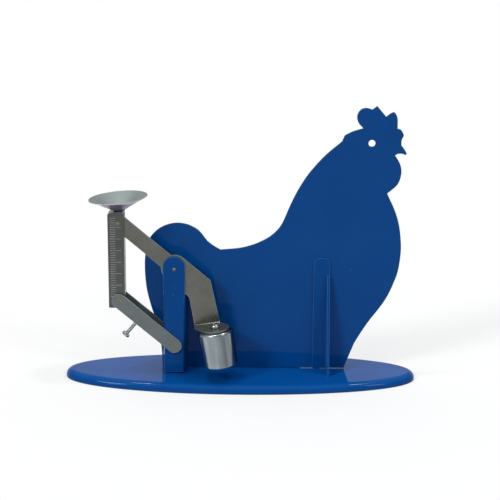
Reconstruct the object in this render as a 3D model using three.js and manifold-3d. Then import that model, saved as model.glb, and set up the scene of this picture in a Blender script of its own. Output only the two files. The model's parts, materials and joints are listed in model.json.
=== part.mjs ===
// An egg scale: a hen cut from sheet metal stands on an oval base, with a weighing linkage before its tail.
// A counterweighted beam and a lower link carry an upright carrier with an egg pan on top.
// Millimetres, +Z up. X runs along the base toward the hen's head, and the linkage is on the -Y side.
// The origin is the centre of the base's underside. The linkage is drawn at rest, with the pan up.
import * as THREE from "three";
import { ConvexGeometry } from "three/addons/geometries/ConvexGeometry.js";
import { mergeVertices } from "three/addons/utils/BufferGeometryUtils.js";
import Module from "manifold-3d";

const wasm = await Module();
wasm.setup();

// Clearances
const restGap = 0.3; // between pieces that rest on each other
const pinGap = 0.3; // round a pin or a screw in its hole
const openPinGap = 0.5; // round the pin that closes the linkage
const swingGap = 0.8; // beside a plate that swings through a slot
const overrun = 10; // how far a cutting shape runs past what it cuts

// Sheet metal
const henSheet = 1.5;
const sheet = 1.2; // the post, the bracket and the linkage

// Base
const baseLength = 300;
const baseWidth = 88.4;
const baseThickness = 7;
const baseShoulder = 5.5; // radius of the rounded top edge

// Hen, with its outline's lower edge one sheet and two gaps above the base
const henLength = 218.8; // from tail to beak
const henHeight = 227.2; // from the lower edge to the top of the comb
const henTailX = -81.6;
const henFaceY = 3.5;
const henEyeRadius = 2.9;
const henLipGap = 0.8; // under the lower edges of the hen's right part and of the strip
const henFlangeLength = 94; // the foot bent rearward from the lower edge
const henFlangeDepth = 14;
const henFlangeX = 4.5;
const henScrewPitch = 36;

// Linkage: a parallelogram of four pins, seen from the front
const mainPinX = -55.8;
const mainPinZ = 99.3;
const pinDrop = 67; // from the upper pins down to the lower pins
const armReach = 60.8; // from the post's pins to the carrier's pins
const armSlope = THREE.MathUtils.degToRad(40.2); // how far the arms rise toward the carrier at rest
const pinRadius = 1.25;
const pinHeadRadius = 2.3;
const pinHeadHeight = 0.8;
const pinTip = 0.6; // how far a pin stands out in front

// Post: a channel with a rounded ear on top, open toward the hen
const postFaceY = -12.7;
const postFootWidth = 16.3;
const postBackWidth = 22;
const earRadius = 9.4;
const earRise = 1.4; // the ear's centre above the main pin
const postToeGap = 1.5; // between the base and the post's front
const postFootSetback = 3; // the foot plate behind the post's front
const sightHoleRadius = 0.8;
const sightHoleDrop = 15.6; // below the main pin
const spacerRadius = 3.2;

// Beam: a plate with a left arm, a hub, a wide right arm and a leg whose end is bent forward into a tab
const armWidth = 13.2;
const armOffset = 0.9; // the arm's centre line above the line of the pins
const hubRadius = 11.4;
const elbowRun = 29.5; // along the arm from the main pin
const innerCornerRun = 25.5;
const innerCornerRound = 4;
const foldReach = 27.9; // the middle of the fold, right of the main pin
const foldDrop = 47.9; // and below it
const foldWidth = 21.6;
const tabTilt = THREE.MathUtils.degToRad(7.6);
const tabSide = 7.6; // the tab's straight left edge
const lobeRadius = 11.4;
const lobeReach = 14.6; // from the beam's face to the lobe's centre
const lobeShift = 7.4; // from the middle of the fold to the lobe's centre

// Counterweight
const weightRadius = 14.9;
const weightHeight = 30;
const weightChamfer = 1.2;
const weightToe = 0.8;
const weightScrewRadius = 2;
const weightScrewReach = 10;
const weightScrewHeadRadius = 3.7;
const weightScrewHeadSide = 1;
const weightScrewHeadDome = 2.8;

// Carrier: a channel with a tilted top plate, open at the back and below
const carrierWidth = 13.7;
const carrierPinInset = 8.7; // from its left side to the pins
const carrierDepth = 12.4;
const carrierHead = 8.6; // its left side above the upper pin
const carrierTail = 6.5; // its lower end below the lower pin
const carrierRound = 2.5;
const carrierNotchDepth = 6;
const panTilt = THREE.MathUtils.degToRad(5);

// Egg pan
const panRadius = 24.7;
const panDepth = 9.9;
const panSheet = 0.9;
const panFlatRadius = 7;
const panHollow = 0.4; // how far its side is drawn in from a straight cone
const panSeat = 9.6; // from the carrier's left side to the pan's axis, on the top plate
const panWasherRadius = 5;
const panWasherHeight = 1.2;
const rivetRadius = 1.6;
const rivetHeadRadius = 3;
const rivetTailRadius = 2.4;
const rivetHeadHeight = 1;

// Lower link: a channel round the post's front and the carrier, with its web on the lower side
const linkHalfWidth = 6.1;
const linkFrontGap = 0.8;
const linkRearGap = 0.4;
const webStart = 9; // from the carrier's pin
const webEnd = 40.3;
const adjusterRun = 24; // from the carrier's pin to the adjusting screw
const adjusterRadius = 1.6;
const adjusterReach = 5; // how far the screw's end stands above the web
const adjusterStandoff = 14.2; // from the web down to the screw's head
const adjusterHeadRadius = 3.5;
const adjusterHeadSide = 1.5;
const adjusterHeadDome = 0.8;

// Bracket: a strip on the hen's face with a tapering fin along its right side and a foot under the hen
const stripX = 68.8;
const stripWidth = 13.6;
const stripHeight = 99.2; // above the base
const stripRound = 6;
const finHeight = 84;
const finTopDepth = 2;
const finFootDepth = 19;
const finSplay = 0.4; // how far the fin's foot leans to the right at its front
const finThickness = 2;
const bracketFootWidth = 6;
const bracketFootShift = 3; // its middle to the left of the strip's
const bracketFootReach = 11; // behind the hen

// Fixing screws
const fixingRadius = 1.5;
const fixingReach = 4.5; // into the base
const fixingHeadRadius = 3;
const fixingHeadSide = 0.8;
const fixingHeadDome = 1.2;
const sunkHeadHeight = 1.6;
const postScrewTip = 1.5; // above the post's foot plate
const slotWidth = 0.8;
const slotDepth = 0.8;

// Facets
const roundSegments = 32;
const smallSegments = 20;
const curveSegments = 3;
const domeSteps = 4;
const shoulderSteps = 6;
const baseSegments = 36; // round half of the base

// Places worked out from the sizes above
const baseTop = baseThickness;
const henFootZ = baseTop + restGap + sheet + restGap;
const henBackY = henFaceY + henSheet;
const lowerPinZ = mainPinZ - pinDrop;
const carrierPinX = mainPinX - armReach * Math.cos(armSlope);
const carrierPinZ = mainPinZ + armReach * Math.sin(armSlope);
const beamFaceY = postFaceY + sheet + restGap;
const beamBackY = beamFaceY + sheet;
const carrierBackY = postFaceY + carrierDepth;
const carrierMiddleY = postFaceY + carrierDepth / 2;
const linkFaceY = postFaceY - linkFrontGap - sheet;
const linkBackY = carrierBackY + linkRearGap + sheet;
const linkMiddleY = (linkFaceY + linkBackY) / 2;
const postBackY = henFaceY - restGap;
const footPlateTop = baseTop + restGap + sheet;
const henScrewY = henBackY + henFlangeDepth / 2;
const henScrewXs = [-1, 0, 1].map((side) => henFlangeX + side * henScrewPitch);
const bracketFootX = stripX - bracketFootShift;
const bracketScrewY = henBackY + bracketFootReach / 2;
const postScrewY = (postFaceY + postFootSetback + sheet + postBackY) / 2;
const earCentreZ = mainPinZ + earRise;

// The underside of the beam's wide arm at the post's right side sets the height of the side flanges.
const armUnderside = (armOffset - hubRadius - earRadius * Math.sin(armSlope)) / Math.cos(armSlope);
const flangeTopZ = mainPinZ + armUnderside - restGap;

// The hen's outline as shares of its length and height, clockwise from its lower left corner.
// Each stretch is one smooth curve from the end of the stretch before it, and two stretches meet in a corner.
const henStartShare = [0.065, 0];
const henStretchShares = [
  // tail
  [
    [0.063, 0.062],
    [0.048, 0.155],
    [0.023, 0.234],
    [0.006, 0.305],
    [0, 0.384],
    [0.004, 0.445],
    [0.02, 0.497],
    [0.047, 0.528],
    [0.079, 0.547],
    [0.117, 0.557],
    [0.154, 0.555],
    [0.186, 0.544],
    [0.213, 0.526],
    [0.244, 0.488],
  ],
  [
    [0.267, 0.471],
    [0.294, 0.456],
  ],
  // back and neck
  [
    [0.367, 0.463],
    [0.418, 0.476],
    [0.456, 0.492],
    [0.487, 0.51],
    [0.512, 0.533],
    [0.532, 0.561],
    [0.561, 0.628],
    [0.587, 0.681],
    [0.617, 0.73],
    [0.643, 0.764],
    [0.692, 0.817],
    [0.754, 0.869],
  ],
  [[0.763, 0.891]],
  [
    [0.793, 0.906],
    [0.833, 0.918],
  ],
  // comb
  [
    [0.814, 0.938],
    [0.808, 0.963],
    [0.819, 0.984],
    [0.84, 0.993],
    [0.865, 0.987],
  ],
  [[0.883, 1]],
  [[0.918, 0.961]],
  [
    [0.932, 0.972],
    [0.946, 0.979],
  ],
  [
    [0.955, 0.97],
    [0.961, 0.953],
    [0.962, 0.918],
  ],
  // brow and beak
  [[0.973, 0.915]],
  [
    [0.98, 0.908],
    [0.987, 0.893],
  ],
  [
    [0.979, 0.875],
    [0.979, 0.856],
  ],
  [
    [0.989, 0.844],
    [1, 0.827],
  ],
  [[0.997, 0.8205]],
  [
    [0.983, 0.825],
    [0.968, 0.825],
    [0.956, 0.819],
  ],
  // wattle
  [
    [0.973, 0.794],
    [0.982, 0.765],
    [0.979, 0.733],
    [0.965, 0.705],
    [0.931, 0.676],
  ],
  // breast
  [
    [0.962, 0.613],
    [0.98, 0.559],
    [0.989, 0.502],
    [0.991, 0.451],
    [0.984, 0.388],
    [0.971, 0.343],
    [0.946, 0.284],
    [0.915, 0.235],
    [0.877, 0.185],
    [0.843, 0.133],
    [0.82, 0.093],
  ],
  [[0.783, 0]],
];
const henEyeShare = [0.867, 0.863];

// Materials
const enamel = new THREE.MeshStandardMaterial({ color: 0x10468c, roughness: 0.15, metalness: 0 });
const platedSteel = new THREE.MeshStandardMaterial({ color: 0x8d8f88, roughness: 0.38, metalness: 1 });
const brightZinc = new THREE.MeshStandardMaterial({ color: 0xc9ccd0, roughness: 0.22, metalness: 1 });
const panTin = new THREE.MeshStandardMaterial({ color: 0xb9c1bf, roughness: 0.3, metalness: 1 });
const brass = new THREE.MeshStandardMaterial({ color: 0xb08a45, roughness: 0.35, metalness: 1 });

// Solids and meshes
function solidOf(geometry) {
  const bare = geometry.clone();
  bare.deleteAttribute("normal");
  bare.deleteAttribute("uv");
  const merged = mergeVertices(bare);
  return new wasm.Manifold(
    new wasm.Mesh({
      numProp: 3,
      vertProperties: new Float32Array(merged.attributes.position.array),
      triVerts: new Uint32Array(merged.index.array),
    }),
  );
}

function namedMesh(name, solid, material) {
  const made = solid.getMesh();
  const geometry = new THREE.BufferGeometry();
  geometry.setAttribute("position", new THREE.BufferAttribute(made.vertProperties, made.numProp));
  geometry.setIndex(new THREE.BufferAttribute(made.triVerts, 1));
  geometry.computeVertexNormals();
  const mesh = new THREE.Mesh(geometry, material);
  mesh.name = name;
  return mesh;
}

function point(x, y) {
  return new THREE.Vector2(x, y);
}

// A shape through the given corners, each with its own rounding.
function cornerShape(corners) {
  const shape = new THREE.Shape();
  corners.forEach(({ at, round = 0 }, i) => {
    const toPrevious = corners.at(i - 1).at.clone().sub(at).normalize();
    const toNext = corners[(i + 1) % corners.length].at.clone().sub(at).normalize();
    const run = round / Math.tan(toPrevious.angleTo(toNext) / 2);
    const start = at.clone().addScaledVector(toPrevious, run);
    const end = at.clone().addScaledVector(toNext, run);
    if (i === 0) shape.moveTo(start.x, start.y);
    else shape.lineTo(start.x, start.y);
    if (round > 0) shape.quadraticCurveTo(at.x, at.y, end.x, end.y);
  });
  return shape;
}

function polygonShape(points) {
  return cornerShape(points.map((at) => ({ at })));
}

function discShape(radius) {
  return new THREE.Shape().absarc(0, 0, radius, 0, 2 * Math.PI);
}

// The point where a line from the given point touches a circle, on its left (1) or right (-1) side.
function tangentPoint(from, centre, radius, side) {
  const toCentre = centre.clone().sub(from);
  const angle = toCentre.angle() + side * Math.asin(radius / toCentre.length());
  const run = Math.sqrt(toCentre.lengthSq() - radius * radius);
  return point(Math.cos(angle), Math.sin(angle)).multiplyScalar(run).add(from);
}

// An upright plate whose outline is drawn in X and Z, from its front face toward the back.
function plate(shape, faceY, thickness, segments = curveSegments) {
  return new THREE.ExtrudeGeometry(shape, { depth: thickness, bevelEnabled: false, curveSegments: segments })
    .rotateX(Math.PI / 2)
    .translate(0, faceY + thickness, 0);
}

// A block between two opposite corners.
function block(x0, x1, y0, y1, z0, z1) {
  const [middleX, middleY, middleZ] = [(x0 + x1) / 2, (y0 + y1) / 2, (z0 + z1) / 2];
  return new THREE.BoxGeometry(x1 - x0, y1 - y0, z1 - z0).translate(middleX, middleY, middleZ);
}

// A solid turned round the Y axis from pairs of radius and place, and the same with its axis upright.
function turned(profile, segments = roundSegments) {
  const points = profile.map(([radius, along]) => point(radius, along));
  return new THREE.LatheGeometry(points, segments);
}

function turnedUpright(profile, segments = roundSegments) {
  return turned(profile, segments).rotateX(Math.PI / 2);
}

// A drill along Y through a plate, and an upright one, between two places on its axis.
function drill(radius, from, to) {
  const profile = [
    [0, from],
    [radius, from],
    [radius, to],
    [0, to],
  ];
  return turned(profile, smallSegments);
}

function uprightDrill(radius, from, to) {
  return drill(radius, from, to).rotateX(Math.PI / 2);
}

// A round pin along Y with a riveted head at its back end.
function pin(frontY, backY) {
  const profile = [
    [0, frontY],
    [pinRadius, frontY],
    [pinRadius, backY],
    [pinHeadRadius, backY],
    [pinHeadRadius, backY + pinHeadHeight],
    [0, backY + pinHeadHeight],
  ];
  return solidOf(turned(profile, smallSegments));
}

// A slotted screw with its head up. The head's underside is at zero.
function slottedScrew({ radius, reach, headRadius, headSide, headDome }) {
  const profile = [
    [0, -reach],
    [radius, -reach],
    [radius, 0],
    [headRadius, 0],
  ];
  for (let step = 0; step <= domeSteps; step++) {
    const turn = (step / domeSteps) * (Math.PI / 2);
    profile.push([step < domeSteps ? headRadius * Math.cos(turn) : 0, headSide + headDome * Math.sin(turn)]);
  }
  const halfSlot = slotWidth / 2;
  const slotFloor = headSide + headDome - slotDepth;
  const slot = block(-halfSlot, halfSlot, -headRadius, headRadius, slotFloor, slotFloor + overrun);
  return solidOf(turnedUpright(profile, smallSegments)).subtract(solidOf(slot));
}

const fixingSizes = {
  radius: fixingRadius,
  reach: fixingReach,
  headRadius: fixingHeadRadius,
  headSide: fixingHeadSide,
  headDome: fixingHeadDome,
};

// Base
function fixingHole(x, y) {
  const [bottom, top] = [baseTop - fixingReach, baseTop + overrun];
  return solidOf(uprightDrill(fixingRadius + pinGap, bottom, top).translate(x, y, 0));
}

// The countersunk screw that holds the post from below, and its hole through the base and the post's foot.
function postScrew() {
  const tip = footPlateTop + postScrewTip;
  const profile = [
    [0, restGap],
    [fixingHeadRadius, restGap],
    [fixingRadius, restGap + sunkHeadHeight],
    [fixingRadius, tip],
    [0, tip],
  ];
  return solidOf(turnedUpright(profile, smallSegments).translate(mainPinX, postScrewY, 0));
}

function postScrewHole() {
  const [headBore, bore] = [fixingHeadRadius + pinGap, fixingRadius + pinGap];
  const profile = [
    [0, -overrun],
    [headBore, -overrun],
    [headBore, restGap],
    [bore, restGap + sunkHeadHeight],
    [bore, baseTop + overrun],
    [0, baseTop + overrun],
  ];
  return solidOf(turnedUpright(profile, smallSegments).translate(mainPinX, postScrewY, 0));
}

function basePlate() {
  const inner = new THREE.Shape().absellipse(
    0,
    0,
    baseLength / 2 - baseShoulder,
    baseWidth / 2 - baseShoulder,
    0,
    2 * Math.PI,
  );
  const slab = new THREE.ExtrudeGeometry(inner, {
    depth: baseThickness,
    bevelSize: baseShoulder,
    bevelThickness: baseShoulder,
    bevelSegments: shoulderSteps,
    curveSegments: baseSegments,
  }).translate(0, 0, -baseShoulder);
  const below = block(-baseLength, baseLength, -baseWidth, baseWidth, -2 * baseShoulder - overrun, 0);
  const drilled = solidOf(slab).subtract(solidOf(below)).subtract(postScrewHole());
  const screwPlaces = henScrewXs.map((x) => [x, henScrewY]).concat([[bracketFootX, bracketScrewY]]);
  return screwPlaces.reduce((solid, [x, y]) => solid.subtract(fixingHole(x, y)), drilled);
}

// Hen
function onHen([xShare, zShare]) {
  return point(henTailX + xShare * henLength, henFootZ + zShare * henHeight);
}

// The lower edge right of the flange, down to a small gap above the base and clear of the bracket's foot.
function henLips() {
  const [footRight] = onHen(henStretchShares.at(-1).at(-1));
  const clear = bracketFootWidth / 2 + restGap;
  const stretches = [
    [henFlangeX, bracketFootX - clear],
    [bracketFootX + clear, footRight],
  ];
  return stretches.map(([left, right]) =>
    solidOf(block(left, right, henFaceY, henBackY, baseTop + henLipGap, henFootZ + henSheet)),
  );
}

function henPlate() {
  const shape = new THREE.Shape();
  shape.moveTo(...onHen(henStartShare));
  henStretchShares.forEach((stretch) => {
    const points = stretch.map(onHen);
    if (points.length === 1) shape.lineTo(...points[0]);
    else shape.splineThru(points);
  });
  const [eyeX, eyeZ] = onHen(henEyeShare);
  const through = [henFaceY - overrun, henBackY + overrun];
  const eye = drill(henEyeRadius, ...through).translate(eyeX, 0, eyeZ);
  const pivotHole = drill(pinRadius + pinGap, ...through).translate(mainPinX, 0, mainPinZ);
  const [left, right] = [henFlangeX - henFlangeLength / 2, henFlangeX + henFlangeLength / 2];
  const bottom = baseTop + restGap;
  const [footLeft] = onHen(henStartShare);
  const bend = block(footLeft, right, henFaceY, henBackY, bottom, henFootZ + henSheet);
  const flange = block(left, right, henFaceY, henBackY + henFlangeDepth, bottom, bottom + henSheet);
  const whole = solidOf(plate(shape, henFaceY, henSheet))
    .subtract(solidOf(eye))
    .subtract(solidOf(pivotHole))
    .add(solidOf(bend))
    .add(solidOf(flange));
  const lipped = henLips().reduce((solid, lip) => solid.add(lip), whole);
  return henScrewXs.reduce((solid, x) => solid.subtract(fixingHole(x, henScrewY)), lipped);
}

function henScrews() {
  return henScrewXs.map((x, i) => {
    const screw = namedMesh("hen_screw_" + (i + 1), slottedScrew(fixingSizes), brightZinc);
    screw.position.set(x, henScrewY, baseTop + restGap + henSheet + restGap);
    return screw;
  });
}

// Post
// A tapering box as wide as the post's front and back, drawn in by a wall, between two places in Z.
function postBox(wall, bottom, top, backY) {
  const halfFoot = postFootWidth / 2 - wall;
  const taper = (earRadius - postFootWidth / 2) / (earCentreZ - baseTop);
  const halfTop = halfFoot + taper * (flangeTopZ - baseTop);
  const halfBack = postBackWidth / 2 - wall;
  const corners = [-1, 1].flatMap((side) => [
    new THREE.Vector3(side * halfFoot, postFaceY + wall, bottom),
    new THREE.Vector3(side * halfTop, postFaceY + wall, top),
    new THREE.Vector3(side * halfBack, backY, bottom),
    new THREE.Vector3(side * halfBack, backY, top),
  ]);
  return solidOf(new ConvexGeometry(corners)).translate([mainPinX, 0, 0]);
}

function postWeb() {
  const halfFoot = postFootWidth / 2;
  const footZ = baseTop + postToeGap;
  const shape = new THREE.Shape();
  shape.moveTo(-halfFoot, footZ);
  shape.lineTo(halfFoot, footZ);
  shape.lineTo(earRadius, earCentreZ);
  shape.absarc(0, earCentreZ, earRadius, 0, Math.PI);
  return solidOf(plate(shape, postFaceY, sheet, roundSegments / 2).translate(mainPinX, 0, 0));
}

// The slot in the left flange that the lower link's back plate swings through.
function linkSlot() {
  const reach = postBackWidth / 2;
  const top = lowerPinZ + reach * Math.tan(armSlope) + linkHalfWidth / Math.cos(armSlope) + swingGap;
  const bottom = lowerPinZ - linkHalfWidth - swingGap;
  const front = linkBackY - sheet - swingGap;
  return solidOf(block(mainPinX - reach - overrun, mainPinX, front, postBackY + overrun, bottom, top));
}

function post() {
  const [bottom, top] = [baseTop + restGap, flangeTopZ];
  const box = postBox(0, bottom, top, postBackY);
  const inside = postBox(sheet, bottom - overrun, top + overrun, postBackY + restGap);
  const toe = block(
    mainPinX - postBackWidth,
    mainPinX + postBackWidth,
    postFaceY - overrun,
    postFaceY + postFootSetback,
    0,
    baseTop + postToeGap,
  );
  const footZone = block(
    mainPinX - postBackWidth,
    mainPinX + postBackWidth,
    postFaceY + postFootSetback,
    postBackY,
    0,
    footPlateTop,
  );
  const footPlate = box.intersect(solidOf(footZone));
  const channel = box.subtract(inside).subtract(solidOf(toe)).subtract(linkSlot());
  const through = [postFaceY - overrun, postFaceY + overrun];
  const mainHole = drill(pinRadius + pinGap, ...through).translate(mainPinX, 0, mainPinZ);
  const lowerHole = drill(pinRadius + pinGap, ...through).translate(mainPinX, 0, lowerPinZ);
  const sightHole = drill(sightHoleRadius, ...through).translate(mainPinX, 0, mainPinZ - sightHoleDrop);
  return channel
    .add(footPlate)
    .add(postWeb())
    .subtract(solidOf(mainHole))
    .subtract(solidOf(lowerHole))
    .subtract(solidOf(sightHole))
    .subtract(postScrewHole());
}

function mainPivotPin() {
  return pin(postFaceY - pinTip, henBackY + restGap).translate([mainPinX, 0, mainPinZ]);
}

function mainPivotSpacer() {
  const [front, back] = [beamBackY + restGap, henFaceY - restGap];
  const bore = pinRadius + pinGap;
  const profile = [
    [bore, front],
    [spacerRadius, front],
    [spacerRadius, back],
    [bore, back],
    [bore, front],
  ];
  return solidOf(turned(profile, smallSegments).translate(mainPinX, 0, mainPinZ));
}

// Bracket
function stripShape() {
  const top = baseTop + stripHeight;
  return cornerShape([
    { at: point(stripX - stripWidth / 2, baseTop + henLipGap) },
    { at: point(stripX + stripWidth / 2, baseTop + henLipGap) },
    { at: point(stripX + stripWidth / 2, top), round: stripRound },
    { at: point(stripX - stripWidth / 2, top), round: stripRound },
  ]);
}

function bracket() {
  const stripBackY = henFaceY - restGap;
  const stripFaceY = stripBackY - sheet;
  const strip = plate(stripShape(), stripFaceY, sheet, roundSegments / 4);
  const finX = stripX + stripWidth / 2;
  const [foot, top] = [baseTop + restGap, baseTop + finHeight];
  const fin = new ConvexGeometry(
    [-finThickness, 0].flatMap((inset) => [
      new THREE.Vector3(finX + inset, stripBackY, foot),
      new THREE.Vector3(finX + finSplay + inset, stripFaceY - finFootDepth, foot),
      new THREE.Vector3(finX + inset, stripBackY, top),
      new THREE.Vector3(finX + inset, stripFaceY - finTopDepth, top),
    ]),
  );
  const footTab = block(
    bracketFootX - bracketFootWidth / 2,
    bracketFootX + bracketFootWidth / 2,
    stripFaceY,
    henBackY + bracketFootReach,
    baseTop + restGap,
    footPlateTop,
  );
  return solidOf(strip)
    .add(solidOf(fin))
    .add(solidOf(footTab))
    .subtract(fixingHole(bracketFootX, bracketScrewY));
}

function bracketScrew() {
  const screw = namedMesh("bracket_screw", slottedScrew(fixingSizes), brightZinc);
  screw.position.set(bracketFootX, bracketScrewY, footPlateTop + restGap);
  return screw;
}

// Beam, drawn about the main pin
function onArm(run, rise) {
  return point(run, rise).rotateAround(point(0, 0), -armSlope);
}

// A place on the tab: along the fold from its middle, and up from the tab's upper face.
function onFold(along, up) {
  return point(along, up).rotateAround(point(0, 0), tabTilt).add(point(foldReach, -foldDrop));
}

function beamLegShape() {
  const [over, under] = [armOffset + hubRadius, armOffset - hubRadius];
  return cornerShape([
    { at: onArm(0, over) },
    { at: onArm(0, under) },
    { at: onArm(innerCornerRun, under), round: innerCornerRound },
    { at: onFold(-foldWidth / 2, -sheet) },
    { at: onFold(foldWidth / 2, -sheet) },
    { at: onArm(elbowRun, over) },
  ]);
}

// The tab lies flat here, with the fold along X at zero and the tab toward -Y, and is then tilted into place.
function beamTab() {
  const centre = point(lobeShift, -lobeReach);
  const leftCorner = point(-foldWidth / 2, -tabSide);
  const rightCorner = point(foldWidth / 2, 0);
  const shape = polygonShape([
    point(-foldWidth / 2, sheet),
    leftCorner,
    tangentPoint(leftCorner, centre, lobeRadius, -1),
    centre,
    tangentPoint(rightCorner, centre, lobeRadius, 1),
    rightCorner,
    point(foldWidth / 2, sheet),
  ]);
  const sheetOptions = { depth: sheet, bevelEnabled: false, curveSegments: roundSegments };
  const blade = new THREE.ExtrudeGeometry(shape, sheetOptions);
  const lobe = new THREE.ExtrudeGeometry(discShape(lobeRadius), sheetOptions);
  const hole = uprightDrill(weightScrewRadius + pinGap, -overrun, overrun);
  return solidOf(blade)
    .add(solidOf(lobe.translate(centre.x, centre.y, 0)))
    .subtract(solidOf(hole.translate(centre.x, centre.y, 0)))
    .translate([0, beamFaceY, -sheet])
    .rotate([0, -THREE.MathUtils.radToDeg(tabTilt), 0])
    .translate([foldReach, 0, -foldDrop]);
}

function beamPlate() {
  const arm = new THREE.Shape();
  arm.absarc(0, armOffset, armWidth / 2, -Math.PI / 2, Math.PI / 2);
  arm.absarc(-armReach, armOffset, armWidth / 2, Math.PI / 2, (3 * Math.PI) / 2);
  const hub = plate(discShape(hubRadius), beamFaceY, sheet, roundSegments).translate(0, 0, armOffset);
  const through = [beamFaceY - overrun, beamBackY + overrun];
  const hubHole = drill(pinRadius + pinGap, ...through);
  const endHole = drill(pinRadius + pinGap, ...through).translate(-armReach, 0, 0).rotateY(armSlope);
  return solidOf(plate(arm, beamFaceY, sheet, roundSegments / 4).rotateY(armSlope))
    .add(solidOf(hub.rotateY(armSlope)))
    .add(solidOf(plate(beamLegShape(), beamFaceY, sheet)))
    .add(beamTab())
    .subtract(solidOf(hubHole))
    .subtract(solidOf(endHole));
}

function counterweight() {
  const bore = weightScrewRadius + pinGap;
  const boreDepth = weightScrewReach + restGap;
  const profile = [
    [0, -weightHeight],
    [weightRadius - weightToe, -weightHeight],
    [weightRadius, weightToe - weightHeight],
    [weightRadius, -weightChamfer],
    [weightRadius - weightChamfer, 0],
    [bore, 0],
    [bore, -boreDepth],
    [0, -boreDepth],
  ];
  return solidOf(turnedUpright(profile, roundSegments + smallSegments));
}

function beamGroup() {
  const group = new THREE.Group();
  group.position.set(mainPinX, 0, mainPinZ);
  group.add(namedMesh("beam_plate", beamPlate(), platedSteel));
  const tabGroup = new THREE.Group();
  tabGroup.position.set(foldReach, beamFaceY, -foldDrop);
  tabGroup.rotation.y = -tabTilt;
  const weight = namedMesh("counterweight", counterweight(), brightZinc);
  weight.position.set(lobeShift, -lobeReach, -sheet - restGap);
  const screwSizes = {
    radius: weightScrewRadius,
    reach: weightScrewReach,
    headRadius: weightScrewHeadRadius,
    headSide: weightScrewHeadSide,
    headDome: weightScrewHeadDome,
  };
  const screw = namedMesh("counterweight_screw", slottedScrew(screwSizes), brightZinc);
  screw.position.set(lobeShift, -lobeReach, restGap);
  tabGroup.add(weight, screw);
  group.add(tabGroup);
  return group;
}

// Carrier, drawn about its upper pin
function carrierTopAt(x) {
  return carrierHead + (x + carrierPinInset) * Math.tan(panTilt);
}

function carrierShape(wall) {
  const [left, right] = [wall - carrierPinInset, carrierWidth - carrierPinInset - wall];
  const bottom = -pinDrop - carrierTail - (wall > 0 ? overrun : 0);
  const drop = wall / Math.cos(panTilt);
  const round = wall > 0 ? carrierRound - wall : carrierRound;
  return cornerShape([
    { at: point(left, bottom) },
    { at: point(right, bottom) },
    { at: point(right, carrierTopAt(right) - drop), round },
    { at: point(left, carrierTopAt(left) - drop), round },
  ]);
}

// The notch in the right side that the beam swings through.
function beamNotch() {
  const side = carrierWidth - carrierPinInset;
  const half = armWidth / 2 + swingGap;
  const top = armOffset + half;
  const bottom = armOffset - side * Math.tan(armSlope) - half / Math.cos(armSlope);
  const [front, back] = [postFaceY + sheet, postFaceY + sheet + carrierNotchDepth];
  return solidOf(block(side - sheet - carrierRound, side + overrun, front, back, bottom, top));
}

function carrier() {
  const outer = solidOf(plate(carrierShape(0), postFaceY, carrierDepth));
  const inner = solidOf(plate(carrierShape(sheet), postFaceY + sheet, carrierDepth + overrun));
  const through = [postFaceY - overrun, postFaceY + overrun];
  const upperHole = drill(pinRadius + pinGap, ...through);
  const lowerHole = drill(pinRadius + openPinGap, ...through).translate(0, 0, -pinDrop);
  const seatX = panSeat - carrierPinInset;
  const rivetHole = uprightDrill(rivetRadius + pinGap, -overrun, overrun)
    .rotateY(-panTilt)
    .translate(seatX, carrierMiddleY, carrierTopAt(seatX));
  return outer
    .subtract(inner)
    .subtract(beamNotch())
    .subtract(solidOf(upperHole))
    .subtract(solidOf(lowerHole))
    .subtract(solidOf(rivetHole));
}

function eggPan() {
  const bore = rivetRadius + pinGap;
  const rimZ = panDepth - panSheet;
  const middle = point((panFlatRadius + panRadius) / 2 - panHollow, rimZ / 2 + panHollow);
  const side = new THREE.QuadraticBezierCurve(point(panFlatRadius, 0), middle, point(panRadius, rimZ));
  const outside = side.getPoints(roundSegments / 4).map(({ x, y }) => [x, y]);
  const inside = outside.map(([radius, z]) => [radius, z + panSheet]).reverse();
  const profile = [[bore, 0], ...outside, ...inside, [bore, panSheet], [bore, 0]];
  return solidOf(turnedUpright(profile, 2 * roundSegments));
}

function panWasher() {
  const bore = rivetRadius + pinGap;
  const profile = [
    [bore, 0],
    [panWasherRadius, 0],
    [panWasherRadius, panWasherHeight],
    [bore, panWasherHeight],
    [bore, 0],
  ];
  return solidOf(turnedUpright(profile, smallSegments));
}

function panRivet() {
  const grip = panWasherHeight + panSheet + 3 * restGap;
  const profile = [
    [0, -sheet - restGap - rivetHeadHeight],
    [rivetTailRadius, -sheet - restGap - rivetHeadHeight],
    [rivetTailRadius, -sheet - restGap],
    [rivetRadius, -sheet - restGap],
    [rivetRadius, grip],
    [rivetHeadRadius, grip],
    [rivetHeadRadius / 2, grip + rivetHeadHeight],
    [0, grip + rivetHeadHeight],
  ];
  return solidOf(turnedUpright(profile, smallSegments));
}

function carrierGroup() {
  const group = new THREE.Group();
  group.position.set(carrierPinX, 0, carrierPinZ);
  group.add(namedMesh("carrier", carrier(), platedSteel));
  group.add(namedMesh("carrier_pin", pin(postFaceY - pinTip, beamBackY + restGap), brass));
  const seatX = panSeat - carrierPinInset;
  const panGroup = new THREE.Group();
  panGroup.position.set(seatX, carrierMiddleY, carrierTopAt(seatX));
  panGroup.rotation.y = -panTilt;
  const washer = namedMesh("pan_washer", panWasher(), platedSteel);
  washer.position.z = restGap;
  const pan = namedMesh("egg_pan", eggPan(), panTin);
  pan.position.z = panWasherHeight + 2 * restGap;
  panGroup.add(washer, pan, namedMesh("pan_rivet", panRivet(), brightZinc));
  group.add(panGroup);
  return group;
}

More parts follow.
